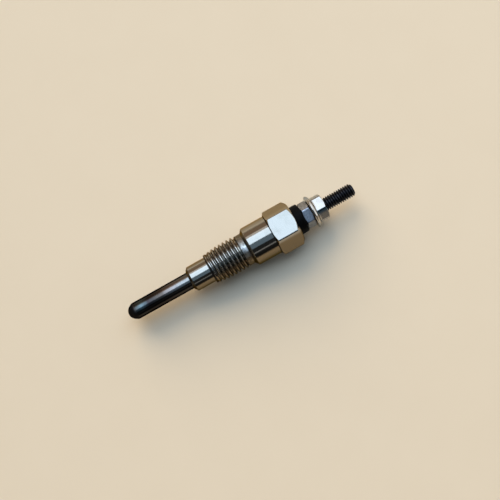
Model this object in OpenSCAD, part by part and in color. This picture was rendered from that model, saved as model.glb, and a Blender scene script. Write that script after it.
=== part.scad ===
// Diesel glow plug with a metal sheath, a 12 mm hexagon and an M4 terminal stud.
// Every piece is drawn upright on the Z axis with the tip of the sheath at zero,
// and laid() then turns the whole plug on to a flat of its hexagon, along +X.

/* [Sheath] */
// Outside diameter of the heater tube
sheath_d = 5; // [4.6:0.1:5.4]
// Wall of the heater tube
sheath_wall = 0.7; // [0.55:0.05:0.8]
// Length of the tube in front of the body
sheath_reach = 20; // [18:0.5:26]
// Length of the tube pressed into the body
sheath_seat = 13; // [11:0.5:15]
// Half angle of the cone behind the tip
nose_half_angle = 31; // [25:1:40]
// Radius of the dome at the tip
nose_dome_r = 2.3; // [1.9:0.05:2.4]
// Thickness of the welded tip, on the axis
tip_wall = 2; // [1.8:0.1:2.4]
// Bevel at the bottom of the tube's bore
bore_bevel = 0.3; // [0.1:0.05:0.4]

/* [Coils] */
// Diameter of both coils, at the middle of the wire
coil_d = 2.4; // [2.36:0.01:2.5]
// Diameter of the heating wire
heating_wire_d = 0.36; // [0.26:0.02:0.4]
// Turns of the heating coil
heating_turns = 9; // [7:1:10]
// Advance of the heating coil in one turn
heating_pitch = 0.62; // [0.5:0.01:0.7]
// Diameter of the regulating wire
regulating_wire_d = 0.3; // [0.22:0.02:0.32]
// Turns of the regulating coil
regulating_turns = 12; // [10:1:14]
// Advance of the regulating coil in one turn
regulating_pitch = 0.5; // [0.4:0.01:0.55]
// Straight lead from the welded tip to the first turn
lead_len = 0.8; // [0.6:0.05:1.2]
// Room round a wire in the packed powder
wire_gap = 0.04; // [0.03:0.01:0.06]

/* [Centre pole] */
// Diameter of the pin that carries the end of the coil
pin_d = 2; // [1.8:0.05:2]
// Length of the pin
pin_len = 2.2; // [1.6:0.1:3]
// Diameter of the pole inside the sheath
shaft_d = 2.2; // [2.1:0.05:2.5]
// Diameter of the pole inside the body
pole_d = 3.5; // [3:0.1:3.6]
// Plain shaft between the sheath and the thicker pole
shaft_run = 0.6; // [0.4:0.1:2]
// Diameter of the terminal thread
stud_d = 4; // [3.9:0.05:4.1]
// Length of the stud beyond the flange nut
stud_free = 9.3; // [6:0.1:14]
// Length of the thread hidden in the bush
stud_hidden = 1.8; // [1:0.1:3]
// Bevel at the end of the stud
stud_bevel = 0.6; // [0.3:0.05:0.8]

/* [Body] */
// Diameter of the nose ring round the sheath
nose_d = 5.8; // [5.7:0.05:6.4]
// Half angle of the sealing cone
seat_half_angle = 50; // [40:1:60]
// Diameter of the pilot
pilot_d = 7.6; // [7.2:0.1:8]
// Length of the pilot
pilot_len = 5.4; // [4:0.1:8]
// Outside diameter of the mounting thread
thread_d = 10; // [9.8:0.05:10.4]
// Length of the mounting thread
thread_len = 10.7; // [8:0.1:14]
// Diameter of the thread's front end
thread_front_d = 8.6; // [8.2:0.1:9.2]
// Length of the taper that leads the thread in
thread_lead = 2; // [0.5:0.1:3]
// Diameter of the neck behind the thread
neck_d = 9.4; // [8.8:0.05:9.6]
// Length of the neck
neck_len = 1.7; // [0.8:0.1:3]
// Half angle of the shoulder between the neck and the shank
shoulder_half_angle = 53; // [40:1:65]
// Diameter of the shank
shank_d = 11.7; // [11:0.1:11.8]
// Length of the shank
shank_len = 7.2; // [5:0.1:12]
// Hexagon across its flats
hex_af = 12; // [12:0.1:13]
// Hexagon across its rounded corners
hex_corner_d = 13.8; // [13.5:0.05:13.8]
// Length of the hexagon
hex_len = 7.5; // [6:0.1:10]
// Diameter of the hexagon's front face
hex_front_d = 11.9; // [11.85:0.01:11.95]
// Slope of the hexagon's front bevel
hex_front_slope = 30; // [15:1:45]
// Diameter of the hexagon's rear face
hex_rear_d = 11.4; // [10.5:0.1:11.8]
// Slope of the hexagon's rear bevel
hex_rear_slope = 38; // [20:1:45]
// Bore behind the sheath
bore_d = 5.6; // [5.5:0.05:6]
// Counterbore for the seal and the bush
counterbore_d = 7.4; // [7:0.1:7.8]
// Depth of the counterbore
counterbore_depth = 5; // [4:0.1:6.5]

/* [Seals] */
// Length of the ring that closes the sheath
sheath_seal_len = 2.5; // [1.5:0.1:3.5]
// Bevel on the edges of that ring
sheath_seal_bevel = 0.15; // [0.05:0.05:0.25]
// Height of the squeezed ring round the pole
pole_seal_h = 1.7; // [1.3:0.1:2]
// Rounding of that ring's section
pole_seal_r = 0.6; // [0.3:0.05:0.6]

/* [Insulating bush] */
// Diameter of the bush's collar
collar_d = 8.6; // [8.2:0.1:9.5]
// Length of the collar
collar_len = 2.5; // [1.6:0.1:4]
// Rounding of the collar's rear edge
collar_r = 0.55; // [0.3:0.05:0.8]
// Room between the bush's spigot and the counterbore
spigot_gap = 0.05; // [0.03:0.01:0.1]
// Room between the bush's hole and the stud
stud_gap = 0.1; // [0.05:0.01:0.2]

/* [Nuts] */
// Both nuts across their flats
nut_af = 7; // [6.9:0.05:7.2]
// Both nuts across their rounded corners
nut_corner_d = 7.9; // [7.75:0.05:8]
// Diameter of a nut's end face
nut_face_d = 6.7; // [6.4:0.05:6.8]
// Slope of the bevels on a nut
nut_slope = 30; // [15:1:35]
// Room between a nut's hole and the stud
nut_gap = 0.02; // [0.01:0.01:0.05]
// Thickness of the clamp nut
clamp_nut_h = 2.7; // [1.8:0.1:3.2]
// Angle of the clamp nut's top flat from upright
clamp_nut_turn = 14; // [-30:1:30]
// Height of the flange nut
flange_nut_h = 4.3; // [4:0.1:6]
// Angle of the flange nut's top flat from upright
flange_nut_turn = -14; // [-30:1:30]
// Diameter of the flange
flange_d = 9.9; // [9:0.1:11]
// Thickness of the flange at its rim
flange_rim = 0.75; // [0.5:0.05:1.2]
// Slope of the flange's rear face
flange_slope = 27; // [20:1:42]

/* [Hidden] */
$fn = 96;
wire_sides = 8;
steps_per_turn = 16;
lead_turn = 0.25;
weld_gap = 0.03;
overcut = 1;

sheath_r = sheath_d / 2;
tube_r = sheath_r - sheath_wall;
dome_edge_r = nose_dome_r * cos(nose_half_angle);
dome_edge_z = nose_dome_r * (1 - sin(nose_half_angle));
nose_len = dome_edge_z + (sheath_r - dome_edge_r) / tan(nose_half_angle);

// Stations along the axis, from the tip to the end of the stud
nose_z = sheath_reach;
pilot_z = nose_z + (pilot_d - nose_d) / 2 / tan(seat_half_angle);
thread_z = pilot_z + pilot_len;
neck_z = thread_z + thread_len;
shoulder_z = neck_z + neck_len;
shank_z = shoulder_z + (shank_d - neck_d) / 2 / tan(shoulder_half_angle);
hex_z = shank_z + shank_len;
rear_z = hex_z + hex_len;
clamp_nut_z = rear_z + collar_len;
flange_nut_z = clamp_nut_z + clamp_nut_h;
stud_z = flange_nut_z + flange_nut_h;
overall = stud_z + stud_free;

sheath_end_z = nose_z + sheath_seat;
sheath_seal_z = sheath_end_z - sheath_seal_len;
counterbore_z = rear_z - counterbore_depth;
spigot_z = counterbore_z + pole_seal_h;

coil_r = coil_d / 2;
heating_z = tip_wall + lead_len;
regulating_z = heating_z + heating_turns * heating_pitch;
coil_end_z = regulating_z + regulating_turns * regulating_pitch;
groove_inner_r = coil_r - heating_wire_d / 2 - wire_gap;
groove_outer_r = coil_r + heating_wire_d / 2 + wire_gap;
groove_z = heating_z - heating_wire_d / 2 - wire_gap;
groove_end_z = coil_end_z + regulating_wire_d / 2 + wire_gap;
pin_z = groove_end_z - pin_len;
pole_z = sheath_end_z + shaft_run;
thread_start_z = clamp_nut_z - stud_hidden;

// Turns the upright plug on to a flat of its hexagon, with the middle of its length over the origin
module laid() {
    translate([-overall / 2, 0, hex_af / 2])
        rotate([0, 90, 0])
            children();
}

// A ring turned from a rectangular section with its corners rounded
module rounded_ring(inner_r, outer_r, h, corner_r) {
    w = outer_r - inner_r;
    rotate_extrude()
        translate([inner_r, 0])
            union() {
                translate([corner_r, 0]) square([w - 2 * corner_r, h]);
                translate([0, corner_r]) square([w, h - 2 * corner_r]);
                for (x = [corner_r, w - corner_r], y = [corner_r, h - corner_r])
                    translate([x, y]) circle(corner_r);
            }
}

// A hexagon bar with rounded corners, and a turned bevel at each end
module hex_bar(af, corner_d, h, front_d, front_slope, rear_d, rear_slope) {
    front_depth = (corner_d - front_d) / 2 * tan(front_slope);
    rear_depth = (corner_d - rear_d) / 2 * tan(rear_slope);
    intersection() {
        rotate(30) cylinder(d = af / cos(30), h = h, $fn = 6);
        rotate_extrude()
            polygon([[0, 0], [front_d / 2, 0], [corner_d / 2, front_depth],
                     [corner_d / 2, h - rear_depth], [rear_d / 2, h], [0, h]]);
    }
}

// One point of a coil's path. The angle starts slowly over the first part of a turn, where the
// wire bends from its straight lead into the helix.
function eased(turn, ease) = turn < ease ? turn * turn / (2 * ease) : turn - ease / 2;
function on_coil(turn, z) = [coil_r * cos(360 * turn), coil_r * sin(360 * turn), z];
function helix(turns, pitch, z, start_turn, ease) =
    [for (i = [0 : turns * steps_per_turn])
        let (turn = i / steps_per_turn)
        on_coil(start_turn + eased(turn, ease), z + turn * pitch)];

// Sweeps a round wire along a path that keeps its distance from the Z axis
function unit(v) = v / norm(v);
function heading(path, i) =
    let (last = len(path) - 1)
    i == 0 ? unit(4 * path[1] - 3 * path[0] - path[2])
    : i == last ? unit(3 * path[last] - 4 * path[last - 1] + path[last - 2])
    : unit(path[i + 1] - path[i - 1]);
function wire_ring(path, i, d) =
    let (along = heading(path, i),
         out = unit([path[i].x, path[i].y, 0]),
         side = unit(cross(along, out)),
         up = cross(side, along))
    [for (k = [0 : wire_sides - 1])
        path[i] + d / 2 * (cos(360 * k / wire_sides) * up + sin(360 * k / wire_sides) * side)];
module wire(path, d) {
    last = len(path) - 1;
    points = [for (i = [0 : last]) each wire_ring(path, i, d)];
    start_cap = [for (k = [0 : wire_sides - 1]) k];
    end_cap = [for (k = [wire_sides - 1 : -1 : 0]) last * wire_sides + k];
    walls = [for (i = [0 : last - 1], k = [0 : wire_sides - 1])
        let (next = (k + 1) % wire_sides)
        [i * wire_sides + k, (i + 1) * wire_sides + k, (i + 1) * wire_sides + next, i * wire_sides + next]];
    polyhedron(points, concat([start_cap], walls, [end_cap]));
}

// Turned steel body: seat, pilot, mounting thread, neck and shank in one profile that runs on into
// the hexagon
module body() {
    run_out = (thread_d - neck_d) / 2;
    shank_end_z = hex_z + hex_len / 2;
    color("silver") laid() difference() {
        union() {
            rotate_extrude()
                polygon([[0, nose_z], [nose_d / 2, nose_z], [pilot_d / 2, pilot_z],
                         [pilot_d / 2, thread_z], [thread_front_d / 2, thread_z],
                         [thread_d / 2, thread_z + thread_lead], [thread_d / 2, neck_z - run_out],
                         [neck_d / 2, neck_z], [neck_d / 2, shoulder_z], [shank_d / 2, shank_z],
                         [shank_d / 2, shank_end_z], [0, shank_end_z]]);
            translate([0, 0, hex_z])
                hex_bar(hex_af, hex_corner_d, hex_len, hex_front_d, hex_front_slope,
                        hex_rear_d, hex_rear_slope);
        }
        rotate_extrude()
            polygon([[0, nose_z - overcut], [sheath_r, nose_z - overcut], [sheath_r, sheath_end_z],
                     [bore_d / 2, sheath_end_z], [bore_d / 2, counterbore_z],
                     [counterbore_d / 2, counterbore_z], [counterbore_d / 2, rear_z + overcut],
                     [0, rear_z + overcut]]);
    }
}

// Heater tube, closed by a cone and a dome
module sheath() {
    color("dimgray") laid() difference() {
        rotate_extrude() {
            intersection() {
                translate([0, nose_dome_r]) circle(nose_dome_r);
                square([nose_dome_r, dome_edge_z]);
            }
            polygon([[0, dome_edge_z], [dome_edge_r, dome_edge_z], [sheath_r, nose_len],
                     [sheath_r, sheath_end_z], [0, sheath_end_z]]);
        }
        rotate_extrude()
            polygon([[0, tip_wall], [tube_r - bore_bevel, tip_wall], [tube_r, tip_wall + bore_bevel],
                     [tube_r, sheath_end_z + overcut], [0, sheath_end_z + overcut]]);
    }
}

// Resistance wire behind the tip, with its straight lead welded to the bottom of the tube
module heating_coil() {
    lead = [on_coil(0, tip_wall), on_coil(0, tip_wall + lead_len / 2)];
    turns = helix(heating_turns, heating_pitch, heating_z, 0, lead_turn);
    color("peru") laid() wire(concat(lead, turns), heating_wire_d);
}

// Second coil, welded end to end with the first and wound on to the pin of the pole
module regulating_coil() {
    weld_turn = weld_gap / (PI * coil_d);
    start_turn = heating_turns - lead_turn / 2 + weld_turn;
    color("tan") laid()
        wire(helix(regulating_turns, regulating_pitch, regulating_z + weld_turn * regulating_pitch,
                   start_turn, 0), regulating_wire_d);
}

// Packed powder that fills the tube, with a ring-shaped channel for the coils
module insulating_powder() {
    color("white") laid() difference() {
        rotate_extrude()
            polygon([[0, tip_wall], [tube_r - bore_bevel, tip_wall], [tube_r, tip_wall + bore_bevel],
                     [tube_r, sheath_seal_z], [0, sheath_seal_z]]);
        rotate_extrude()
            polygon([[groove_inner_r, groove_z], [groove_outer_r, groove_z],
                     [groove_outer_r, groove_end_z], [groove_inner_r, groove_end_z]]);
        translate([0, 0, pin_z]) cylinder(d = pin_d, h = pin_len + overcut);
        translate([0, 0, groove_end_z]) cylinder(d = shaft_d, h = overall);
        translate([coil_r, 0, tip_wall - overcut])
            cylinder(d = heating_wire_d + 2 * wire_gap, h = lead_len + overcut);
    }
}

// Rubber ring that closes the rear end of the tube
module sheath_seal() {
    color("firebrick") laid() rotate_extrude()
        polygon([[shaft_d / 2, sheath_seal_z], [tube_r, sheath_seal_z],
                 [tube_r, sheath_end_z - sheath_seal_bevel], [tube_r - sheath_seal_bevel, sheath_end_z],
                 [shaft_d / 2 + sheath_seal_bevel, sheath_end_z],
                 [shaft_d / 2, sheath_end_z - sheath_seal_bevel]]);
}

// Pole that carries the current from the terminal to the coils, with the M4 stud on its rear end
module centre_pole() {
    step = (pole_d - shaft_d) / 2;
    thread_step = (stud_d - pole_d) / 2;
    color([0.16, 0.16, 0.18]) laid() rotate_extrude()
        polygon([[0, pin_z], [pin_d / 2, pin_z], [pin_d / 2, groove_end_z], [shaft_d / 2, groove_end_z],
                 [shaft_d / 2, pole_z], [pole_d / 2, pole_z + step],
                 [pole_d / 2, thread_start_z - thread_step], [stud_d / 2, thread_start_z],
                 [stud_d / 2, overall - stud_bevel], [stud_d / 2 - stud_bevel, overall], [0, overall]]);
}

// Ring squeezed between the pole and the counterbore
module pole_seal() {
    color("saddlebrown") laid() translate([0, 0, counterbore_z])
        rounded_ring(pole_d / 2, counterbore_d / 2, pole_seal_h, pole_seal_r);
}

// Moulded bush that keeps the pole clear of the body
module insulating_bush() {
    hole_r = stud_d / 2 + stud_gap;
    spigot_r = counterbore_d / 2 - spigot_gap;
    color([0.08, 0.08, 0.09]) laid() difference() {
        union() {
            translate([0, 0, spigot_z]) cylinder(r = spigot_r, h = rear_z - spigot_z + overcut);
            translate([0, 0, rear_z]) rotate_extrude() {
                square([collar_d / 2, collar_len - collar_r]);
                square([collar_d / 2 - collar_r, collar_len]);
                translate([collar_d / 2 - collar_r, collar_len - collar_r]) circle(collar_r);
            }
        }
        translate([0, 0, spigot_z - overcut]) cylinder(r = hole_r, h = clamp_nut_z - spigot_z + 2 * overcut);
    }
}

// Thin nut that holds the bush down
module clamp_nut() {
    color("lightsteelblue") laid() translate([0, 0, clamp_nut_z]) difference() {
        rotate(clamp_nut_turn)
            hex_bar(nut_af, nut_corner_d, clamp_nut_h, nut_face_d, nut_slope, nut_face_d, nut_slope);
        translate([0, 0, -overcut]) cylinder(d = stud_d + 2 * nut_gap, h = clamp_nut_h + 2 * overcut);
    }
}

// Nut with a flange that presses the cable's eye against the clamp nut
module flange_nut() {
    core_r = stud_d / 2 + overcut / 2;
    flange_h = flange_rim + (flange_d / 2 - core_r) * tan(flange_slope);
    color("gainsboro") laid() translate([0, 0, flange_nut_z]) difference() {
        union() {
            rotate_extrude()
                polygon([[0, 0], [flange_d / 2, 0], [flange_d / 2, flange_rim], [core_r, flange_h],
                         [0, flange_h]]);
            translate([0, 0, flange_rim / 2]) rotate(flange_nut_turn)
                hex_bar(nut_af, nut_corner_d, flange_nut_h - flange_rim / 2, nut_face_d, nut_slope,
                        nut_face_d, nut_slope);
        }
        translate([0, 0, -overcut]) cylinder(d = stud_d + 2 * nut_gap, h = flange_nut_h + 2 * overcut);
    }
}

body();
sheath();
heating_coil();
regulating_coil();
insulating_powder();
sheath_seal();
centre_pole();
pole_seal();
insulating_bush();
clamp_nut();
flange_nut();
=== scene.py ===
"""A diesel glow plug that lies on a pale floor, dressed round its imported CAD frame."""

import math

import bmesh
import bpy
from mathutils import Matrix, Vector


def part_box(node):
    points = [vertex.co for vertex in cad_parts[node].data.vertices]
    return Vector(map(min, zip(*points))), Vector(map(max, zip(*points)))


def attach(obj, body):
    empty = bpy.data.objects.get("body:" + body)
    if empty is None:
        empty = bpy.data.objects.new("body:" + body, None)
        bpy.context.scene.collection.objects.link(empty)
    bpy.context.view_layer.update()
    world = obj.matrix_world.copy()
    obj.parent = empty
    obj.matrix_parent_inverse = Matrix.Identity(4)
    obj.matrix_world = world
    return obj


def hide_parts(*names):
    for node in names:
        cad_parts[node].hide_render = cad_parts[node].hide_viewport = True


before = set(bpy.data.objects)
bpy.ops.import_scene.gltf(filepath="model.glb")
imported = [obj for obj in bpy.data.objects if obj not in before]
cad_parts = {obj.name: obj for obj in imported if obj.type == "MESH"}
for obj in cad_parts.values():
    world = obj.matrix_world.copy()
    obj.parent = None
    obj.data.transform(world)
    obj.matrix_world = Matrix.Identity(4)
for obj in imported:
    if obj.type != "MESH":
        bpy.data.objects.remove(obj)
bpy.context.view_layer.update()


# Heater tube. It is drawn from heat-resisting steel and closed at its nose by a cone and a dome, and its
# rear half is pressed into the body. Use has burnt its nose black and tinted the rest in bands.
mm = 0.001
tube_low, tube_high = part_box("sheath")
axis_z = (tube_low.z + tube_high.z) / 2
tip_x = tube_low.x
tube_end_x = tube_high.x
tube_r = (tube_high.z - tube_low.z) / 2
tube_wall = 0.7 * mm
tube_bore_r = tube_r - tube_wall
tube_floor_x = tip_x + 2 * mm
bore_bevel = 0.3 * mm
nose_dome_r = 2.3 * mm
nose_half_angle = math.radians(31)
tube_sides = 96
weld = 0.001 * mm


def eased(outline, closed):
    """Rounds an outline of (along, radius, rounding) points. Points beside each curve hold its shading."""
    steps = 4
    hold = 1.25
    longest_share = 0.38
    points = []
    for i, (along, radius, rounding) in enumerate(outline):
        corner = Vector((along, radius))
        at_end = not closed and i in (0, len(outline) - 1)
        if at_end or rounding == 0:
            points.append(corner)
            continue
        before = Vector(outline[i - 1][:2]) - corner
        after = Vector(outline[(i + 1) % len(outline)][:2]) - corner
        reach = min(rounding, longest_share * before.length, longest_share * after.length)
        before = before.normalized() * reach
        after = after.normalized() * reach
        points.append(corner + before * hold)
        for step in range(steps + 1):
            share = step / steps
            points.append(corner + before * (1 - share) ** 2 + after * share ** 2)
        points.append(corner + after * hold)
    return points


def lathe(outline_at, sides, closed=False, turn=0.0):
    """Skins the outlines that outline_at(angle) gives round the plug's axis, from +Y towards +Z."""
    work = bmesh.new()
    columns = []
    for side in range(sides):
        angle = turn + 2 * math.pi * side / sides
        column = []
        for along, radius in eased(outline_at(angle), closed):
            place = (along, radius * math.cos(angle), axis_z + radius * math.sin(angle))
            column.append(work.verts.new(place))
        columns.append(column)
    for side in range(sides):
        here = columns[side]
        there = columns[(side + 1) % sides]
        last = len(here) if closed else len(here) - 1
        for k in range(last):
            after = (k + 1) % len(here)
            work.faces.new((here[k], here[after], there[after], there[k]))
    return work


def piece(name, work, material):
    """Welds a skinned mesh, and stands it in for the CAD node of the same name."""
    crease = math.radians(50)
    bmesh.ops.remove_doubles(work, verts=work.verts, dist=weld)
    bmesh.ops.dissolve_degenerate(work, edges=work.edges, dist=weld)
    bmesh.ops.recalc_face_normals(work, faces=work.faces)
    mesh = bpy.data.meshes.new(name)
    work.to_mesh(mesh)
    work.free()
    mesh.shade_smooth()
    mesh.set_sharp_from_angle(angle=crease)
    mesh.materials.append(material)
    made = bpy.data.objects.new(name + "_visual", mesh)
    bpy.context.collection.objects.link(made)
    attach(made, "root")
    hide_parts(name)


def tube_outline(angle):
    """The tube's wall, from the middle of its nose along the outside and back along the bore."""
    dome_steps = 12
    dome_sweep = math.pi / 2 - nose_half_angle
    outline = []
    for step in range(dome_steps):
        swing = dome_sweep * step / dome_steps
        along = tip_x + nose_dome_r * (1 - math.cos(swing))
        outline.append((along, nose_dome_r * math.sin(swing), 0))
    cone_x = tip_x + nose_dome_r * (1 - math.cos(dome_sweep))
    cone_r = nose_dome_r * math.sin(dome_sweep)
    nose_end_x = cone_x + (tube_r - cone_r) / math.tan(nose_half_angle)
    outline += [
        (cone_x, cone_r, 0),
        (nose_end_x, tube_r, 0.3 * mm),
        (tube_end_x, tube_r, 0.1 * mm),
        (tube_end_x, tube_bore_r, 0.1 * mm),
        (tube_floor_x + bore_bevel, tube_bore_r, 0),
        (tube_floor_x, tube_bore_r - bore_bevel, 0),
        (tube_floor_x, 0, 0),
    ]
    return outline


def add_node(tree, kind, **settings):
    """Adds a node and sets its own properties."""
    node = tree.nodes.new(kind)
    for name, value in settings.items():
        setattr(node, name, value)
    return node


def feed(tree, socket, value):
    """Links a socket to another one, or sets its value."""
    if isinstance(value, bpy.types.NodeSocket):
        tree.links.new(value, socket)
    else:
        socket.default_value = value


def calc(tree, operation, *values):
    """Adds a Math node and returns its result."""
    node = add_node(tree, "ShaderNodeMath", operation=operation)
    for socket, value in zip(node.inputs, values):
        feed(tree, socket, value)
    return node.outputs[0]


def split(tree, place):
    """Splits a point into the outputs X, Y and Z."""
    node = add_node(tree, "ShaderNodeSeparateXYZ")
    tree.links.new(place, node.inputs[0])
    return node.outputs


def grade(tree, value, low, high, from_value=0.0, to_value=1.0):
    """Grades a value smoothly from one number to another between two limits."""
    node = add_node(tree, "ShaderNodeMapRange", interpolation_type="SMOOTHSTEP")
    feed(tree, node.inputs["Value"], value)
    feed(tree, node.inputs["From Min"], low)
    feed(tree, node.inputs["From Max"], high)
    feed(tree, node.inputs["To Min"], from_value)
    feed(tree, node.inputs["To Max"], to_value)
    return node.outputs["Result"]


def grain(tree, place, scale, detail):
    """Adds a noise over the surface and returns its value."""
    node = add_node(tree, "ShaderNodeTexNoise")
    tree.links.new(place, node.inputs["Vector"])
    node.inputs["Scale"].default_value = scale
    node.inputs["Detail"].default_value = detail
    node.inputs["Roughness"].default_value = 0.55
    return node.outputs["Fac"]


def noise_along(tree, distance, detail):
    """Adds a noise that changes along one line only and returns its value."""
    node = add_node(tree, "ShaderNodeTexNoise", noise_dimensions="1D")
    tree.links.new(distance, node.inputs["W"])
    node.inputs["Scale"].default_value = 1.0
    node.inputs["Detail"].default_value = detail
    return node.outputs["Fac"]


def blend(tree, share, first, second):
    """Mixes two colours and returns the result."""
    # A Mix node also has sockets for values and vectors, so the ones for colours go by their numbers
    node = add_node(tree, "ShaderNodeMix", data_type="RGBA")
    feed(tree, node.inputs["Factor"], share)
    feed(tree, node.inputs[6], first)
    feed(tree, node.inputs[7], second)
    return node.outputs[2]


def ramp(tree, value, stops):
    """Adds a Color Ramp of (place, colour) stops and returns its colour."""
    node = add_node(tree, "ShaderNodeValToRGB")
    tree.links.new(value, node.inputs["Fac"])
    elements = node.color_ramp.elements
    while len(elements) < len(stops):
        elements.new(0.5)
    for element, (place, colour) in zip(elements, stops):
        element.position = place
        element.color = (*colour, 1)
    return node.outputs["Color"]


def effect_group(name, inputs, outputs):
    """Starts a shader group with named value inputs and outputs."""
    group = bpy.data.node_groups.new(name, "ShaderNodeTree")
    for label, value in inputs.items():
        socket = group.interface.new_socket(label, in_out="INPUT", socket_type="NodeSocketFloat")
        socket.default_value = value
    for label in outputs:
        group.interface.new_socket(label, in_out="OUTPUT", socket_type="NodeSocketFloat")
    taken = add_node(group, "NodeGroupInput")
    given = add_node(group, "NodeGroupOutput")
    place = add_node(group, "ShaderNodeTexCoord").outputs["Object"]
    return group, taken.outputs, given.inputs, place


def use_effect(tree, group, **values):
    """Places a shader group in a material with its own values and returns its outputs."""
    node = add_node(tree, "ShaderNodeGroup", node_tree=group)
    for label, value in values.items():
        feed(tree, node.inputs[label.replace("_", " ")], value)
    return node.outputs


def finish_of(name, metallic, roughness):
    """Starts a material and returns it with its tree, shader and Object coordinates."""
    material = bpy.data.materials.new(name)
    material.use_nodes = True
    tree = material.node_tree
    shader = tree.nodes["Principled BSDF"]
    shader.inputs["Metallic"].default_value = metallic
    shader.inputs["Roughness"].default_value = roughness
    place = add_node(tree, "ShaderNodeTexCoord").outputs["Object"]
    return material, tree, shader, place


def bump(tree, shader, height, depth):
    """Turns a height into the shader's normal. The depth is in metres."""
    node = add_node(tree, "ShaderNodeBump")
    node.inputs["Strength"].default_value = 1.0
    node.inputs["Distance"].default_value = depth
    tree.links.new(height, node.inputs["Height"])
    tree.links.new(node.outputs["Normal"], shader.inputs["Normal"])


# Fine rings that a lathe tool leaves round a turned or drawn piece
turning_marks, given_in, given_out, group_place = effect_group(
    "turning_marks", {"Rings per metre": 6000.0, "Waver": 0.3}, ["Height", "Streaks"]
)
streaks_per_ring = 0.23
along_axis = split(turning_marks, group_place)["X"]
wander = grain(turning_marks, group_place, scale=300.0, detail=4.0)
wander = calc(turning_marks, "MULTIPLY", wander, given_in["Waver"])
ring_count = calc(turning_marks, "MULTIPLY_ADD", along_axis, given_in["Rings per metre"], wander)
streak_count = calc(turning_marks, "MULTIPLY", ring_count, streaks_per_ring)
turning_marks.links.new(noise_along(turning_marks, ring_count, 3.0), given_out["Height"])
turning_marks.links.new(noise_along(turning_marks, streak_count, 2.0), given_out["Streaks"])

# Cloudy patches where hands, oil and heat have dulled a surface
dulled_patches, given_in, given_out, group_place = effect_group(
    "dulled_patches", {"Patches per metre": 260.0, "From": 0.45, "To": 0.7}, ["Mask"]
)
cloud = add_node(dulled_patches, "ShaderNodeTexNoise")
dulled_patches.links.new(group_place, cloud.inputs["Vector"])
dulled_patches.links.new(given_in["Patches per metre"], cloud.inputs["Scale"])
cloud.inputs["Detail"].default_value = 6.0
cloud.inputs["Roughness"].default_value = 0.62
mask = grade(dulled_patches, cloud.outputs["Fac"], given_in["From"], given_in["To"])
dulled_patches.links.new(mask, given_out["Mask"])

# Band for painted shade, reflection and highlight on one side, between two angles from the top towards -Y
painted_side_band, given_in, given_out, group_place = effect_group(
    "painted_side_band", {"From": 0.5, "To": 0.8}, ["Mask"]
)
band_place = split(painted_side_band, group_place)
band_up = calc(painted_side_band, "SUBTRACT", band_place["Z"], axis_z)
band_out = calc(painted_side_band, "MULTIPLY", band_place["Y"], -1.0)
band_angle = calc(painted_side_band, "ARCTAN2", band_out, band_up)
band_mask = grade(painted_side_band, band_angle, given_in["From"], given_in["To"])
painted_side_band.links.new(band_mask, given_out["Mask"])


def painted_band_between(tree, start, end):
    """Places the painted light band in a material; its mask grows between two angles in degrees."""
    film = use_effect(tree, painted_side_band, From=math.radians(start), To=math.radians(end))
    return film["Mask"]


tinted_steel, tree, shader, place = finish_of("heat_tinted_steel", metallic=1.0, roughness=0.34)
from_tip = calc(tree, "SUBTRACT", split(tree, place)["X"], tip_x)

# Heat tints from the burnt nose to the body, each at its share of the length that shows. The edges of the
# bands wander along the tube, but not at the nose
shown_length = 20 * mm
drift_reach = 1.2 * mm
heat_tints = [
    (0.00, (0.030, 0.029, 0.029)),
    (0.106, (0.030, 0.029, 0.029)),
    (0.120, (0.060, 0.053, 0.048)),
    (0.22, (0.124, 0.166, 0.174)),
    (0.36, (0.050, 0.042, 0.044)),
    (0.485, (0.090, 0.078, 0.068)),
    (0.555, (0.126, 0.100, 0.086)),
    (0.62, (0.200, 0.168, 0.154)),
    (0.74, (0.296, 0.262, 0.250)),
    (0.87, (0.310, 0.300, 0.285)),
    (1.00, (0.330, 0.325, 0.310)),
]
drift = grain(tree, place, scale=420.0, detail=5.0)
drift = calc(tree, "MULTIPLY_ADD", drift, 2 * drift_reach, -drift_reach)
drift = calc(tree, "MULTIPLY", drift, grade(tree, from_tip, 1.5 * mm, 6 * mm))
tint_place = calc(tree, "DIVIDE", calc(tree, "ADD", from_tip, drift), shown_length)
tint = ramp(tree, tint_place, heat_tints)
marks = use_effect(tree, turning_marks, Rings_per_metre=9000.0, Waver=1.2)
soot = use_effect(tree, dulled_patches, Patches_per_metre=700.0, From=0.5, To=0.78)

# Soot lies in patches, and painted shade darkens both sides of the tube and leaves its top bright
soot_and_shade_black = (0.03, 0.027, 0.025, 1)
patch_soot = calc(tree, "MULTIPLY", soot["Mask"], 0.35)
near_tube_shade = calc(tree, "MULTIPLY", painted_band_between(tree, 6, 34), 0.93)
far_tube_shade = calc(tree, "MULTIPLY", painted_band_between(tree, -27, -49), 0.82)
soot_and_shade_share = calc(tree, "MAXIMUM", calc(tree, "MAXIMUM", patch_soot, near_tube_shade), far_tube_shade)
tree.links.new(blend(tree, soot_and_shade_share, tint, soot_and_shade_black), shader.inputs["Base Color"])
shader.inputs["Specular Tint"].default_value = (0.03, 0.02, 0.01, 1)
tube_roughness = grade(tree, tint_place, 0.1, 0.15, 0.5, 0.15)
tree.links.new(calc(tree, "MULTIPLY_ADD", soot["Mask"], 0.1, tube_roughness), shader.inputs["Roughness"])
bump(tree, shader, marks["Height"], depth=0.0015 * mm)
piece("sheath", lathe(tube_outline, tube_sides), tinted_steel)


# Heating and regulating coils. Both are wound from resistance wire and welded end to end inside the tube.
# They stay as the frame has them, in wire that its first heating has browned.
def dress(node_name, material):
    """Gives a CAD node its finish."""
    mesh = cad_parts[node_name].data
    mesh.materials.clear()
    mesh.materials.append(material)


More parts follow.
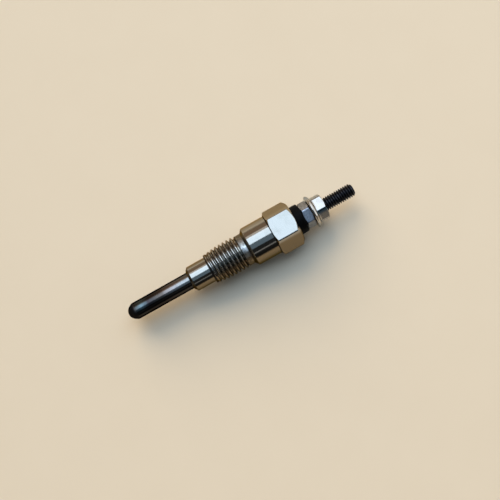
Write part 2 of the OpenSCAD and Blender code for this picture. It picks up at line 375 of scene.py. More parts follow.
browned_wire, tree, shader, place = finish_of("browned_resistance_wire", metallic=1.0, roughness=0.42)
browning = use_effect(tree, dulled_patches, Patches_per_metre=900.0, From=0.4, To=0.65)
drawn_wire = (0.36, 0.29, 0.22, 1)
heated_wire = (0.16, 0.11, 0.09, 1)
wire_colour = blend(tree, browning["Mask"], drawn_wire, heated_wire)
tree.links.new(wire_colour, shader.inputs["Base Color"])
dress("heating_coil", browned_wire)
dress("regulating_coil", browned_wire)


# Insulating powder. Magnesium oxide is poured round the coils and packed hard when the tube is swaged. It
# holds them clear of the wall and takes their heat to it.
packed_oxide, tree, shader, place = finish_of("packed_oxide", metallic=0.0, roughness=0.92)
specks = grain(tree, place, scale=2600.0, detail=5.0)
grey_powder = (0.74, 0.72, 0.67, 1)
white_powder = (0.86, 0.85, 0.82, 1)
oxide_colour = blend(tree, specks, grey_powder, white_powder)
tree.links.new(oxide_colour, shader.inputs["Base Color"])
bump(tree, shader, specks, depth=0.05 * mm)
dress("insulating_powder", packed_oxide)


# Two rubber seals. One plugs the rear end of the tube round the pole, and the other is an O-ring that
# the bush squeezes in the body's counterbore.
seal_rubber, tree, shader, place = finish_of("brown_seal_rubber", metallic=0.0, roughness=0.62)
bloom = use_effect(tree, dulled_patches, Patches_per_metre=500.0, From=0.4, To=0.75)
clean_rubber = (0.11, 0.045, 0.03, 1)
bloomed_rubber = (0.17, 0.10, 0.08, 1)
rubber_colour = blend(tree, bloom["Mask"], clean_rubber, bloomed_rubber)
tree.links.new(rubber_colour, shader.inputs["Base Color"])
bump(tree, shader, grain(tree, place, scale=5000.0, detail=3.0), depth=0.01 * mm)
dress("sheath_seal", seal_rubber)
dress("pole_seal", seal_rubber)


# Centre pole. It is turned from steel in one piece with the terminal stud, whose M4 thread is rolled, and
# the whole pole is blackened in hot oxide. Its pin is pressed into the coil before the tube is closed.
pole_low, pole_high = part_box("centre_pole")
pin_x = pole_low.x
stud_end_x = pole_high.x
clamp_low, clamp_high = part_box("clamp_nut")
pin_r = 1.0 * mm
pin_len = 2.2 * mm
shaft_r = 1.1 * mm
pole_r = 1.75 * mm
pole_x = tube_end_x + 0.6 * mm
stud_r = (pole_high.z - pole_low.z) / 2
stud_pitch = 0.7 * mm
groove_per_pitch = 0.6134
stud_root_r = stud_r - groove_per_pitch * stud_pitch
stud_thread_x = clamp_low.x - 2.05 * mm
stud_lead = 0.5 * mm
stud_bevel = 0.6 * mm
stud_sides = 96


def rolled_thread_tree():
    """A Geometry Nodes tree that skins a right-hand thread along X, with a lead-in and a run-out."""
    tree = bpy.data.node_groups.new("rolled_thread", "GeometryNodeTree")
    sockets = {
        "Start": "NodeSocketVector",
        "Length": "NodeSocketFloat",
        "Pitch": "NodeSocketFloat",
        "Phase": "NodeSocketFloat",
        "Outer radius": "NodeSocketFloat",
        "Root radius": "NodeSocketFloat",
        "Front radius": "NodeSocketFloat",
        "Lead-in": "NodeSocketFloat",
        "Rear radius": "NodeSocketFloat",
        "Run-out": "NodeSocketFloat",
        "Sides": "NodeSocketInt",
        "Rows per turn": "NodeSocketInt",
        "Finish": "NodeSocketMaterial",
    }
    for label, kind in sockets.items():
        tree.interface.new_socket(label, in_out="INPUT", socket_type=kind)
    tree.interface.new_socket("Thread", in_out="OUTPUT", socket_type="NodeSocketGeometry")
    given = add_node(tree, "NodeGroupInput").outputs

    # Half a crest and one flank in shares of the pitch, and the rounding in shares of the height. A root
    # reaches its depth in a fifth of a lead-in or run-out. The nudge keeps a row that starts a turn from
    # counting as the end of the last one
    crest_half = 2 / 16
    flank = 4.5 / 16
    rounding = 0.35
    root_quickness = 5.0
    nudge = 0.0005

    # A flat grid becomes the skin: across it lie the sides, and up it lie the rows that follow the helix
    whole_turns = calc(tree, "CEIL", calc(tree, "DIVIDE", given["Length"], given["Pitch"]))
    turns = calc(tree, "ADD", whole_turns, 1.0)
    grid = add_node(tree, "GeometryNodeMeshGrid")
    grid.inputs["Size X"].default_value = 1.0
    grid.inputs["Size Y"].default_value = 1.0
    rows = calc(tree, "MULTIPLY_ADD", turns, given["Rows per turn"], 1.0)
    tree.links.new(calc(tree, "ADD", given["Sides"], 1.0), grid.inputs["Vertices X"])
    tree.links.new(rows, grid.inputs["Vertices Y"])
    flat = split(tree, add_node(tree, "GeometryNodeInputPosition").outputs[0])
    round_share = calc(tree, "ADD", flat["X"], 0.5)
    row_turn = calc(tree, "MULTIPLY", calc(tree, "ADD", flat["Y"], 0.5), turns)
    climb = calc(tree, "SUBTRACT", calc(tree, "ADD", row_turn, round_share), 1.0)
    along = calc(tree, "MULTIPLY", climb, given["Pitch"])
    along = calc(tree, "MINIMUM", calc(tree, "MAXIMUM", along, 0.0), given["Length"])
    left = calc(tree, "SUBTRACT", given["Length"], along)

    # Height of the rolled profile at each row: a round crest, straight flanks and a round root
    phased_turn = calc(tree, "ADD", row_turn, given["Phase"])
    phase = calc(tree, "FRACT", calc(tree, "ADD", phased_turn, nudge))
    from_crest = calc(tree, "MINIMUM", phase, calc(tree, "SUBTRACT", 1.0, phase))
    height = calc(tree, "DIVIDE", calc(tree, "SUBTRACT", crest_half + flank, from_crest), flank)
    height = calc(tree, "SMOOTH_MIN", height, 1.0, rounding)
    height = calc(tree, "SMOOTH_MAX", height, 0.0, rounding)
    height = calc(tree, "MINIMUM", calc(tree, "MAXIMUM", height, 0.0), 1.0)
    depth = calc(tree, "SUBTRACT", given["Outer radius"], given["Root radius"])
    radius = calc(tree, "MULTIPLY_ADD", height, depth, given["Root radius"])

    # Along the lead-in and the run-out the profile sinks between a falling crest and a rising root
    ends = [
        ("Front radius", "Lead-in", along),
        ("Rear radius", "Run-out", left),
    ]
    for end_radius, run, distance in ends:
        share = calc(tree, "MINIMUM", calc(tree, "DIVIDE", distance, given[run]), 1.0)
        crest_drop = calc(tree, "SUBTRACT", given["Outer radius"], given[end_radius])
        root_rise = calc(tree, "SUBTRACT", given["Root radius"], given[end_radius])
        crest_limit = calc(tree, "MULTIPLY_ADD", share, crest_drop, given[end_radius])
        root_share = calc(tree, "MINIMUM", calc(tree, "MULTIPLY", share, root_quickness), 1.0)
        root_limit = calc(tree, "MULTIPLY_ADD", root_share, root_rise, given[end_radius])
        root_limit = calc(tree, "MINIMUM", root_limit, crest_limit)
        height = calc(tree, "DIVIDE", calc(tree, "SUBTRACT", radius, given["Root radius"]), depth)
        room = calc(tree, "SUBTRACT", crest_limit, root_limit)
        radius = calc(tree, "MULTIPLY_ADD", height, room, root_limit)

    # The grid is wound round the axis at these radii, and its two long edges are welded
    swing = calc(tree, "MULTIPLY", round_share, 2 * math.pi)
    spot = add_node(tree, "ShaderNodeCombineXYZ")
    tree.links.new(along, spot.inputs["X"])
    tree.links.new(calc(tree, "MULTIPLY", radius, calc(tree, "COSINE", swing)), spot.inputs["Y"])
    tree.links.new(calc(tree, "MULTIPLY", radius, calc(tree, "SINE", swing)), spot.inputs["Z"])
    shifted = add_node(tree, "ShaderNodeVectorMath", operation="ADD")
    tree.links.new(spot.outputs[0], shifted.inputs[0])
    tree.links.new(given["Start"], shifted.inputs[1])
    bent = add_node(tree, "GeometryNodeSetPosition")
    tree.links.new(grid.outputs["Mesh"], bent.inputs["Geometry"])
    tree.links.new(shifted.outputs[0], bent.inputs["Position"])
    welded = add_node(tree, "GeometryNodeMergeByDistance")
    welded.inputs["Distance"].default_value = weld
    tree.links.new(bent.outputs[0], welded.inputs["Geometry"])
    real = add_node(tree, "GeometryNodeRealizeInstances")
    tree.links.new(welded.outputs[0], real.inputs[0])
    finished = add_node(tree, "GeometryNodeSetMaterial")
    tree.links.new(real.outputs[0], finished.inputs["Geometry"])
    tree.links.new(given["Finish"], finished.inputs["Material"])
    result = add_node(tree, "NodeGroupOutput")
    tree.links.new(finished.outputs[0], result.inputs[0])
    return tree


rolled_thread = rolled_thread_tree()


def add_thread(work, values):
    """Runs the thread tree with named values and adds its plain mesh to a skinned piece."""
    holder = bpy.data.objects.new("thread_holder", bpy.data.meshes.new("thread_holder"))
    bpy.context.collection.objects.link(holder)
    modifier = holder.modifiers.new("rolled_thread", "NODES")
    modifier.node_group = rolled_thread
    for item in rolled_thread.interface.items_tree:
        if item.in_out == "INPUT":
            modifier[item.identifier] = values[item.name]
    evaluated = holder.evaluated_get(bpy.context.evaluated_depsgraph_get())
    thread_mesh = bpy.data.meshes.new_from_object(evaluated)
    holder.modifiers.remove(modifier)
    work.from_mesh(thread_mesh)
    bpy.data.objects.remove(holder)
    bpy.data.meshes.remove(thread_mesh)


def pole_front_outline(angle):
    """The pole from the middle of its pin to the start of the stud's thread."""
    return [
        (pin_x, 0, 0),
        (pin_x, pin_r, 0.15 * mm),
        (pin_x + pin_len, pin_r, 0),
        (pin_x + pin_len, shaft_r, 0.05 * mm),
        (pole_x, shaft_r, 0.1 * mm),
        (pole_x + (pole_r - shaft_r), pole_r, 0.2 * mm),
        (stud_thread_x, pole_r, 0),
    ]


def stud_end_outline(angle):
    """The flat end of the stud, from the thread's end to the middle."""
    return [
        (stud_end_x, stud_r - stud_bevel, 0.05 * mm),
        (stud_end_x, 0, 0),
    ]


# How deep a point lies below the crest of a thread, as a share of the thread's depth
thread_depth, given_in, given_out, group_place = effect_group(
    "thread_depth", {"Crest radius": 2.0 * mm, "Root radius": 1.6 * mm}, ["Depth"]
)
thread_place = split(thread_depth, group_place)
off_axis_y = calc(thread_depth, "POWER", thread_place["Y"], 2.0)
off_axis_z = calc(thread_depth, "POWER", calc(thread_depth, "SUBTRACT", thread_place["Z"], axis_z), 2.0)
off_axis = calc(thread_depth, "SQRT", calc(thread_depth, "ADD", off_axis_y, off_axis_z))
depth_share = grade(thread_depth, off_axis, given_in["Crest radius"], given_in["Root radius"])
thread_depth.links.new(depth_share, given_out["Depth"])

# The oxide is rubbed off the crests of the stud's thread in places
black_oxide, tree, shader, place = finish_of("black_oxide_steel", metallic=1.0, roughness=0.4)
rubbed_depth = 0.14 * mm
sunk = use_effect(tree, thread_depth, Crest_radius=stud_r, Root_radius=stud_r - rubbed_depth)
crest = calc(tree, "SUBTRACT", 1.0, sunk["Depth"])
worn = use_effect(tree, dulled_patches, Patches_per_metre=900.0, From=0.35, To=0.8)
rubbed = calc(tree, "MULTIPLY", crest, worn["Mask"])
oxide_black = (0.026, 0.026, 0.031, 1)
rubbed_steel = (0.12, 0.115, 0.125, 1)
tree.links.new(blend(tree, rubbed, oxide_black, rubbed_steel), shader.inputs["Base Color"])
tree.links.new(grade(tree, rubbed, 0.0, 1.0, 0.42, 0.3), shader.inputs["Roughness"])
bump(tree, shader, grain(tree, place, scale=3000.0, detail=3.0), depth=0.004 * mm)
pole_work = lathe(pole_front_outline, stud_sides)
add_thread(
    pole_work,
    {
        "Start": (stud_thread_x, 0, axis_z),
        "Length": stud_end_x - stud_thread_x,
        "Pitch": stud_pitch,
        "Phase": 0.0,
        "Outer radius": stud_r,
        "Root radius": stud_root_r,
        "Front radius": pole_r,
        "Lead-in": stud_lead,
        "Rear radius": stud_r - stud_bevel,
        "Run-out": stud_bevel,
        "Sides": stud_sides,
        "Rows per turn": 16,
        "Finish": black_oxide,
    },
)
end_work = lathe(stud_end_outline, stud_sides)
end_mesh = bpy.data.meshes.new("stud_end")
end_work.to_mesh(end_mesh)
end_work.free()
pole_work.from_mesh(end_mesh)
bpy.data.meshes.remove(end_mesh)
piece("centre_pole", pole_work, black_oxide)


# Body. One piece of steel is turned with its seat, pilot, neck and shank from drawn hexagon bar, its
# M10 thread is rolled, and the whole is nickel plated. The tube is pressed into its bore.
body_low, body_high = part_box("body")
nose_x = body_low.x
nose_r = 2.9 * mm
pilot_r = 3.8 * mm
seat_half_angle = math.radians(50)
pilot_x = nose_x + (pilot_r - nose_r) / math.tan(seat_half_angle)
pilot_len = 5.7 * mm
thread_x = pilot_x + pilot_len
thread_r = 5.0 * mm
thread_len = 10.4 * mm
thread_pitch = 1.25 * mm
thread_root_r = thread_r - groove_per_pitch * thread_pitch
thread_front_r = 4.4 * mm
thread_lead = 3.9 * mm
thread_runout = 0.9 * mm
thread_phase = 0.75
neck_r = 4.7 * mm
neck_x = thread_x + thread_len
neck_len = 1.7 * mm
shoulder_x = neck_x + neck_len
shoulder_half_angle = math.radians(53)
shank_r = 5.85 * mm
shank_x = shoulder_x + (shank_r - neck_r) / math.tan(shoulder_half_angle)
shank_len = 7.2 * mm
hex_x = shank_x + shank_len
rear_x = body_high.x
hex_flat_r = (body_high.z - body_low.z) / 2
hex_corner_r = (body_high.y - body_low.y) / 2
hex_front_r = 5.95 * mm
hex_front_slope = math.radians(30)
hex_rear_r = 5.7 * mm
hex_rear_slope = math.radians(38)
bore_r = 2.8 * mm
counterbore_r = 3.7 * mm
counterbore_depth = 5 * mm
counterbore_x = rear_x - counterbore_depth
body_sides = 192
edge = 0.12 * mm


def hexagon_r(angle, flat_r, corner_r, flat_angle):
    """How far a hexagon with cut corners reaches at an angle, with one flat facing flat_angle."""
    sixth = math.pi / 3
    off_flat = (angle - flat_angle + sixth / 2) % sixth - sixth / 2
    return min(flat_r / math.cos(off_flat), corner_r)


def body_outline(angle):
    """From the rear end of the thread over the shank and hexagon, back through the bore to the thread."""
    hex_r = hexagon_r(angle, hex_flat_r, hex_corner_r, math.pi / 2)
    front_bevel_x = hex_x + (hex_r - hex_front_r) * math.tan(hex_front_slope)
    rear_bevel_x = rear_x - (hex_r - hex_rear_r) * math.tan(hex_rear_slope)
    return [
        (neck_x, neck_r, 0),
        (shoulder_x, neck_r, 0.08 * mm),
        (shank_x, shank_r, 0.12 * mm),
        (hex_x, shank_r, 0.05 * mm),
        (hex_x, hex_front_r, 0.05 * mm),
        (front_bevel_x, hex_r, edge),
        (rear_bevel_x, hex_r, edge),
        (rear_x, hex_rear_r, edge),
        (rear_x, counterbore_r, edge),
        (counterbore_x, counterbore_r, 0.05 * mm),
        (counterbore_x, bore_r, 0.05 * mm),
        (tube_end_x, bore_r, 0.02 * mm),
        (tube_end_x, tube_r, 0.02 * mm),
        (nose_x, tube_r, 0.02 * mm),
        (nose_x, nose_r, 0.06 * mm),
        (pilot_x, pilot_r, 0.08 * mm),
        (thread_x, pilot_r, 0.08 * mm),
        (thread_x, thread_front_r, 0),
    ]


def zone(tree, value, start, end, soft):
    """A mask that is one between two limits and fades out beyond them."""
    rising = grade(tree, value, start - soft, start)
    falling = grade(tree, value, end + soft, end)
    return calc(tree, "MULTIPLY", rising, falling)


nickel, tree, shader, place = finish_of("nickel_plated_steel", metallic=1.0, roughness=0.14)
body_x = split(tree, place)["X"]
marks = use_effect(tree, turning_marks, Rings_per_metre=5000.0, Waver=0.5)
smears = use_effect(tree, dulled_patches, Patches_per_metre=240.0, From=0.46, To=0.74)
clean_nickel = (0.42, 0.40, 0.36, 1)
smeared_nickel = (0.385, 0.365, 0.325, 1)
plating = blend(tree, smears["Mask"], clean_nickel, smeared_nickel)

# A painted highlight: a bright band along the top of the neck
painted_highlight_nickel = (0.88, 0.90, 0.90, 1)
on_neck = zone(tree, body_x, neck_x, shoulder_x, soft=0.2 * mm)
neck_highlight_band = calc(tree, "MULTIPLY", painted_band_between(tree, -10, 2), painted_band_between(tree, 20, 14.5))
plating = blend(tree, calc(tree, "MULTIPLY", neck_highlight_band, on_neck), plating, painted_highlight_nickel)

# Painted brown reflection and shade darken the near side. On the far side the painted brown is thin, but
# thicker on the pilot and the first turns, and on the neck it reaches further up
painted_brown_reflection = (0.19, 0.145, 0.09, 1)
on_pilot = grade(tree, body_x, thread_x + 6 * mm, thread_x)
far_paint_share = calc(tree, "MULTIPLY_ADD", on_pilot, 0.35, 0.3)
neck_paint_share = calc(tree, "MULTIPLY", on_neck, 0.6)
near_reflection_paint = calc(tree, "MULTIPLY", painted_band_between(tree, 30, 44), 0.93)
far_reflection_paint = calc(tree, "MULTIPLY", painted_band_between(tree, -38, -52), far_paint_share)
neck_reflection_paint = calc(tree, "MULTIPLY", painted_band_between(tree, -22, -40), neck_paint_share)
painted_sides = calc(tree, "MAXIMUM", calc(tree, "MAXIMUM", near_reflection_paint, far_reflection_paint), neck_reflection_paint)
plating = blend(tree, painted_sides, plating, painted_brown_reflection)

# Dirt and painted shade darken the thread's flanks, painted shade the corners and cones; dirt spots the
# neck
shade_and_dirt_black = (0.022, 0.02, 0.018, 1)
taper = (thread_r - thread_front_r) / thread_lead
tapered_r = calc(tree, "MULTIPLY_ADD", body_x, taper, thread_front_r - thread_x * taper)
crest_r = calc(tree, "MINIMUM", tapered_r, thread_r)
sunk = use_effect(tree, thread_depth, Crest_radius=crest_r, Root_radius=thread_root_r)
below_crest = grade(tree, sunk["Depth"], 0.01, 0.11)
above_root = grade(tree, sunk["Depth"], 0.99, 0.95, 0.2, 1.0)
on_flank = calc(tree, "MULTIPLY", below_crest, above_root)
on_thread = zone(tree, body_x, thread_x, neck_x - 1.0 * mm, soft=0.4 * mm)
dirt_and_shade = calc(tree, "MULTIPLY", on_flank, on_thread)
painted_shade_runs = [
    (nose_x, pilot_x, 0.9),
    (thread_x, thread_x + 0.3 * mm, 1.0),
    (neck_x - 0.08 * mm, neck_x + 0.04 * mm, 0.9),
    (shoulder_x, shank_x - 0.08 * mm, 0.8),
    (hex_x - 0.1 * mm, hex_x + 0.1 * mm, 1.0),
]
for start, end, share in painted_shade_runs:
    run = zone(tree, body_x, start, end, soft=0.1 * mm)
    dirt_and_shade = calc(tree, "MAXIMUM", dirt_and_shade, calc(tree, "MULTIPLY", run, share))
caked = use_effect(tree, dulled_patches, Patches_per_metre=900.0, From=0.25, To=0.6)
spots = use_effect(tree, dulled_patches, Patches_per_metre=1500.0, From=0.42, To=0.62)
dirt_and_shade = calc(tree, "MULTIPLY", dirt_and_shade, calc(tree, "MULTIPLY_ADD", caked["Mask"], 0.12, 0.86))
neck_spots = calc(tree, "MULTIPLY", calc(tree, "MULTIPLY", on_neck, spots["Mask"]), 0.4)
dirt_and_shade = calc(tree, "MAXIMUM", dirt_and_shade, neck_spots)
tree.links.new(blend(tree, dirt_and_shade, plating, shade_and_dirt_black), shader.inputs["Base Color"])
shader.inputs["Specular Tint"].default_value = (0.6, 0.45, 0.25, 1)

# Turning streaks, smears, dirt and painted shade take the shine off the plating, and grime all over the
# neck
body_roughness = calc(tree, "MULTIPLY_ADD", marks["Streaks"], 0.08, 0.05)
body_roughness = calc(tree, "MULTIPLY_ADD", smears["Mask"], 0.05, body_roughness)
body_roughness = calc(tree, "MULTIPLY_ADD", dirt_and_shade, 0.2, body_roughness)
neck_roughness = calc(tree, "MULTIPLY", on_neck, calc(tree, "MULTIPLY_ADD", caked["Mask"], 0.2, 0.16))
tree.links.new(calc(tree, "ADD", neck_roughness, body_roughness), shader.inputs["Roughness"])
bump(tree, shader, marks["Height"], depth=0.0015 * mm)
body_work = lathe(body_outline, body_sides)
add_thread(
    body_work,
    {
        "Start": (thread_x, 0, axis_z),
        "Length": thread_len,
        "Pitch": thread_pitch,
        "Phase": thread_phase,
        "Outer radius": thread_r,
        "Root radius": thread_root_r,
        "Front radius": thread_front_r,
        "Lead-in": thread_lead,
        "Rear radius": neck_r,
        "Run-out": thread_runout,
        "Sides": body_sides,
        "Rows per turn": 32,
        "Finish": nickel,
    },
)
piece("body", body_work, nickel)


# Insulating bush. It is moulded from glass-filled phenolic and pressed into the counterbore over the stud,
# so that its collar keeps the clamp nut clear of the body.
bush_low, bush_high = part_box("insulating_bush")
collar_r = (bush_high.z - bush_low.z) / 2
spigot_room = 0.05 * mm
spigot_r = counterbore_r - spigot_room
bush_room = 0.1 * mm
bush_hole_r = stud_r + bush_room
bush_sides = 96


def bush_outline(angle):
    """The bush's section, all the way round."""
    return [
        (bush_low.x, bush_hole_r, 0.1 * mm),
        (bush_low.x, spigot_r, 0.2 * mm),
        (rear_x, spigot_r, 0.03 * mm),
        (rear_x, collar_r, 0.12 * mm),
        (bush_high.x, collar_r, 0.55 * mm),
        (bush_high.x, bush_hole_r, 0.1 * mm),
    ]


phenolic, tree, shader, place = finish_of("black_phenolic", metallic=0.0, roughness=0.5)
fibres = grain(tree, place, scale=2400.0, detail=4.0)
dust = use_effect(tree, dulled_patches, Patches_per_metre=800.0, From=0.52, To=0.8)
moulded_black = (0.0025, 0.0025, 0.003, 1)
dusty_black = (0.006, 0.0055, 0.005, 1)
tree.links.new(blend(tree, dust["Mask"], moulded_black, dusty_black), shader.inputs["Base Color"])
shader.inputs["Specular IOR Level"].default_value = 0.04
tree.links.new(grade(tree, fibres, 0.3, 0.7, 0.42, 0.58), shader.inputs["Roughness"])
bump(tree, shader, fibres, depth=0.012 * mm)
bush_work = lathe(bush_outline, bush_sides, closed=True)
piece("insulating_bush", bush_work, phenolic)


# Clamp nut. A thin M4 nut, cold formed and zinc plated, is run down the stud on to the bush. Handling has
# left its zinc dull and grey.
nut_room = 0.02 * mm
nut_hole_r = stud_r + nut_room
nut_mouth = 0.25 * mm
nut_mouth_r = nut_hole_r + nut_mouth
nut_flat_r = 3.5 * mm
nut_corner_r = 3.95 * mm
nut_face_r = 3.35 * mm
nut_slope = math.radians(30)
clamp_turn = math.radians(14)
nut_sides = 120
nut_edge = 0.1 * mm


def nut_rear(rear_face_x, hex_r):
    """The rear half of a nut's section, from the hexagon's bevel to the mouth of the hole."""
    bevel = (hex_r - nut_face_r) * math.tan(nut_slope)
    return [
        (rear_face_x - bevel, hex_r, nut_edge),
        (rear_face_x, nut_face_r, nut_edge),
        (rear_face_x, nut_mouth_r, 0.05 * mm),
        (rear_face_x - nut_mouth, nut_hole_r, 0.03 * mm),
    ]


def clamp_outline(angle):
    """The clamp nut's section, all the way round."""
    hex_r = hexagon_r(angle, nut_flat_r, nut_corner_r, math.pi / 2 + clamp_turn)
    bevel = (hex_r - nut_face_r) * math.tan(nut_slope)
    return [
        (clamp_low.x + nut_mouth, nut_hole_r, 0.03 * mm),
        (clamp_low.x, nut_mouth_r, 0.05 * mm),
        (clamp_low.x, nut_face_r, nut_edge),
        (clamp_low.x + bevel, hex_r, nut_edge),
        *nut_rear(clamp_high.x, hex_r),
    ]


dull_zinc, tree, shader, place = finish_of("dull_zinc_plate", metallic=1.0, roughness=0.36)
clouds = use_effect(tree, dulled_patches, Patches_per_metre=1700.0, From=0.3, To=0.7)
pale_zinc = (0.55, 0.58, 0.655, 1)
clouded_zinc = (0.30, 0.32, 0.37, 1)
painted_grey_reflection = (0.25, 0.235, 0.205, 1)
zinc_colour = blend(tree, clouds["Mask"], pale_zinc, clouded_zinc)
# Painted reflection and shade darken the nut's near and far sides towards a warm grey
near_reflection_paint = calc(tree, "MULTIPLY", painted_band_between(tree, 36, 54), 0.8)
painted_sides = calc(tree, "MAXIMUM", painted_band_between(tree, -20, -44), near_reflection_paint)
zinc_colour = blend(tree, calc(tree, "MULTIPLY", painted_sides, 0.5), zinc_colour, painted_grey_reflection)
tree.links.new(zinc_colour, shader.inputs["Base Color"])
shader.inputs["Specular Tint"].default_value = (0.5, 0.4, 0.25, 1)
tree.links.new(grade(tree, clouds["Mask"], 0.0, 1.0, 0.32, 0.46), shader.inputs["Roughness"])
bump(tree, shader, grain(tree, place, scale=2200.0, detail=4.0), depth=0.012 * mm)
clamp_work = lathe(clamp_outline, nut_sides, closed=True, turn=clamp_turn)
piece("clamp_nut", clamp_work, dull_zinc)


# Flange nut. It is cold formed in one piece with its washer face and bright zinc plated, and it presses the
# cable's eye against the clamp nut.
flange_low, flange_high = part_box("flange_nut")
flange_r = (flange_high.z - flange_low.z) / 2
flange_front_r = flange_r - 0.3 * mm
flange_rim_x = flange_low.x + 0.36 * mm
flange_back_x = flange_low.x + 0.92 * mm
flange_back_r = flange_r - 0.33 * mm
flange_slope = math.radians(24)
flange_turn = math.radians(-14)


def flange_outline(angle):
    """The flange nut's section, all the way round."""
    hex_r = hexagon_r(angle, nut_flat_r, nut_corner_r, math.pi / 2 + flange_turn)
    root_x = flange_back_x + (flange_back_r - hex_r) * math.tan(flange_slope)
    return [
        (flange_low.x + nut_mouth, nut_hole_r, 0.03 * mm),
        (flange_low.x, nut_mouth_r, 0.05 * mm),
        (flange_low.x, flange_front_r, 0.12 * mm),
        (flange_rim_x, flange_r, 0.15 * mm),
        (flange_back_x, flange_back_r, 0.12 * mm),
        (root_x, hex_r, 0.3 * mm),
        *nut_rear(flange_high.x, hex_r),
    ]


bright_zinc, tree, shader, place = finish_of("bright_zinc_plate", metallic=1.0, roughness=0.2)
smudges = use_effect(tree, dulled_patches, Patches_per_metre=420.0, From=0.42, To=0.75)
clean_zinc = (0.52, 0.48, 0.43, 1)
smudged_zinc = (0.46, 0.425, 0.38, 1)
bright_colour = blend(tree, smudges["Mask"], clean_zinc, smudged_zinc)

# Painted shade darkens the cone behind the rim, and a painted blue-grey shade lies on the far side.
# Darker painted shade lies on the hexagon's near side, thickest along its upper edge
painted_cone_shade = (0.17, 0.185, 0.23, 1)
painted_far_grey = (0.38, 0.46, 0.55, 1)
painted_near_shade = (0.085, 0.155, 0.235, 1)
nut_x = split(tree, place)["X"]
on_cone = zone(tree, nut_x, flange_back_x, flange_back_x + 0.45 * mm, soft=0.06 * mm)
bright_colour = blend(tree, calc(tree, "MULTIPLY", on_cone, 0.7), bright_colour, painted_cone_shade)
far_paint_share = calc(tree, "MULTIPLY", painted_band_between(tree, -34, -54), 0.9)
bright_colour = blend(tree, far_paint_share, bright_colour, painted_far_grey)
on_hexagon = grade(tree, nut_x, flange_back_x + 0.1 * mm, flange_back_x + 0.3 * mm)
near_shade_share = calc(tree, "MULTIPLY_ADD", painted_band_between(tree, 46, 24), 0.76, 0.24)
near_shade_share = calc(tree, "MULTIPLY", near_shade_share, painted_band_between(tree, 14.5, 17.5))
near_shade_share = calc(tree, "MULTIPLY", near_shade_share, on_hexagon)
bright_colour = blend(tree, near_shade_share, bright_colour, painted_near_shade)
tree.links.new(bright_colour, shader.inputs["Base Color"])
shader.inputs["Specular Tint"].default_value = (0.7, 0.66, 0.58, 1)
tree.links.new(grade(tree, smudges["Mask"], 0.0, 1.0, 0.14, 0.22), shader.inputs["Roughness"])
bump(tree, shader, grain(tree, place, scale=1500.0, detail=3.0), depth=0.005 * mm)
flange_work = lathe(flange_outline, nut_sides, closed=True, turn=flange_turn)
piece("flange_nut", flange_work, bright_zinc)


# Floor. A wide flat sheet of pale warm paper that runs out to the horizon, so that the plug lies on a plain
# ground from every side.
floor_radius = 4.0
floor_sides = 96

paper, tree, shader, place = finish_of("pale_paper", metallic=0.0, roughness=0.9)
tooth = grain(tree, place, scale=60.0, detail=2.0)
paper_tan = (0.67, 0.585, 0.46, 1)
paper_light = (0.69, 0.605, 0.48, 1)
tree.links.new(blend(tree, tooth, paper_tan, paper_light), shader.inputs["Base Color"])
shader.inputs["Specular IOR Level"].default_value = 0.0
floor_work = bmesh.new()
bmesh.ops.create_circle(floor_work, cap_ends=True, segments=floor_sides, radius=floor_radius)
floor_mesh = bpy.data.meshes.new("floor")
floor_work.to_mesh(floor_mesh)
floor_work.free()
floor_mesh.materials.append(paper)
floor = bpy.data.objects.new("floor", floor_mesh)
bpy.context.collection.objects.link(floor)


# Light. One long softbox hangs on the far side of the plug and gives the metal its single bright band, with
# a dim feather along each side. A narrow strip hangs low on the near side, a panel stands beyond the stud,
# and a wide warm sun from the far side lights the paper.
plug_along = Vector((1, 0, 0))
lamp_distance = 1.3
panel_front_x = -0.53
panel_rear_x = 1.6


def soft_lamp(name, middle, back, long_side, length, width, level, colour):
    """Hangs a flat lamp that faces away from its back. The level is the brightness of its face."""
    lamp = bpy.data.lights.new(name, "AREA")
    lamp.shape = "RECTANGLE"
    lamp.size = length
    lamp.size_y = width
    lamp.color = colour
    lamp.energy = level * math.pi * width * length
    made = bpy.data.objects.new(name, lamp)
    turned = Matrix((long_side, back.cross(long_side), back)).transposed().to_4x4()
    made.matrix_world = Matrix.Translation(middle) @ turned
    made.visible_camera = False
    bpy.context.collection.objects.link(made)


def overhead_panel(name, near_deg, far_deg, level, colour):
    """Hangs a panel along the plug, between two angles from upright. The far side counts as positive."""
    middle = math.radians((near_deg + far_deg) / 2)
    width = 2 * lamp_distance * math.tan(math.radians(far_deg - near_deg) / 2)
    length = panel_rear_x - panel_front_x
    back = Vector((0, math.sin(middle), math.cos(middle)))
    place = back * lamp_distance + plug_along * (panel_front_x + panel_rear_x) / 2
    soft_lamp(name, place, back, plug_along, length, width, level, colour)


overhead_panel("softbox", near_deg=2, far_deg=39.5, level=2.6, colour=(0.633, 0.80, 1.0))
overhead_panel("far_feather", near_deg=40, far_deg=52, level=0.6, colour=(0.95, 0.98, 1.0))
overhead_panel("near_feather", near_deg=-27, far_deg=1.5, level=0.31, colour=(0.48, 0.73, 1.0))
overhead_panel("strip", near_deg=-57, far_deg=-50, level=0.25, colour=(1.0, 1.0, 0.98))

end_rise = math.radians(20)
end_turn = math.radians(10)
end_length = 2.0
end_width = 0.6
end_level = 1.55
end_colour = (0.86, 0.93, 1.0)
end_side = Vector((-math.sin(end_turn), math.cos(end_turn), 0))
end_ahead = Vector((math.cos(end_turn), math.sin(end_turn), 0))
end_back = end_ahead * math.cos(end_rise) + Vector((0, 0, math.sin(end_rise)))
end_middle = end_back * lamp_distance
soft_lamp("end_panel", end_middle, end_back, end_side, end_length, end_width, end_level, end_colour)

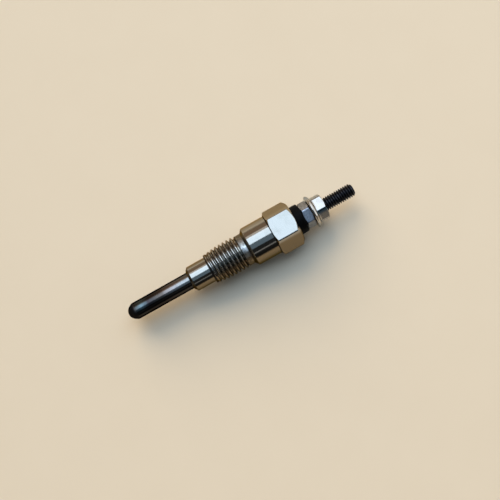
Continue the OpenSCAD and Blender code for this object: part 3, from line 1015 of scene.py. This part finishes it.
wash_lean = math.radians(58)
wash = bpy.data.lights.new("far_sun", "SUN")
wash.angle = math.radians(48)
wash.energy = 3.4
wash.color = (1.0, 0.82, 0.58)
wash_lamp = bpy.data.objects.new("far_sun", wash)
wash_lamp.matrix_world = Matrix.Rotation(-wash_lean, 4, "X")
wash_lamp.visible_glossy = False
bpy.context.collection.objects.link(wash_lamp)

# The room is dark on the near side, warm and dim beyond the softbox, and grey low down. Pale haze hides the
# paper's end along the horizon, and lies lower on the near side
world = bpy.data.worlds.new("dim_studio")
world.use_nodes = True
tree = world.node_tree
near_dark = (0.024, 0.026, 0.027, 1)
far_warm = (0.30, 0.21, 0.14, 1)
low_grey = (0.085, 0.09, 0.095, 1)
pale_haze = (0.56, 0.48, 0.37, 1)
toward = split(tree, add_node(tree, "ShaderNodeTexCoord").outputs["Generated"])
room = blend(tree, grade(tree, toward["Y"], 0.3, 0.85), near_dark, far_warm)
room = blend(tree, grade(tree, toward["Z"], 0.17, 0.11), room, low_grey)
haze_top = grade(tree, toward["Y"], -0.85, -0.5, 0.085, 0.14)
haze = grade(tree, calc(tree, "SUBTRACT", toward["Z"], haze_top), 0.0, -0.02)
room = blend(tree, haze, room, pale_haze)
tree.links.new(room, tree.nodes["Background"].inputs["Color"])
bpy.context.scene.world = world


# Camera. It stands almost straight above the plug, leant a little to the near side, and is rolled so that
# the stud points up to the right.
camera_lean = math.radians(7.7)
camera_roll = math.radians(29.35)
camera_distance = 216 * mm
aim = Vector((2.5 * mm, -0.8 * mm, axis_z))
back = Vector((0, -math.sin(camera_lean), math.cos(camera_lean)))
plug_up = back.cross(plug_along)
right = plug_along * math.cos(camera_roll) - plug_up * math.sin(camera_roll)
up = plug_along * math.sin(camera_roll) + plug_up * math.cos(camera_roll)
camera = bpy.data.objects.new("camera", bpy.data.cameras.new("camera"))
camera.data.sensor_width = 36
camera.data.lens = 54.7
camera.data.clip_start = 0.01
turned = Matrix((right, up, back)).transposed().to_4x4()
camera.matrix_world = Matrix.Translation(aim + back * camera_distance) @ turned
bpy.context.collection.objects.link(camera)
bpy.context.scene.camera = camera
bpy.context.scene.view_settings.view_transform = "Standard"
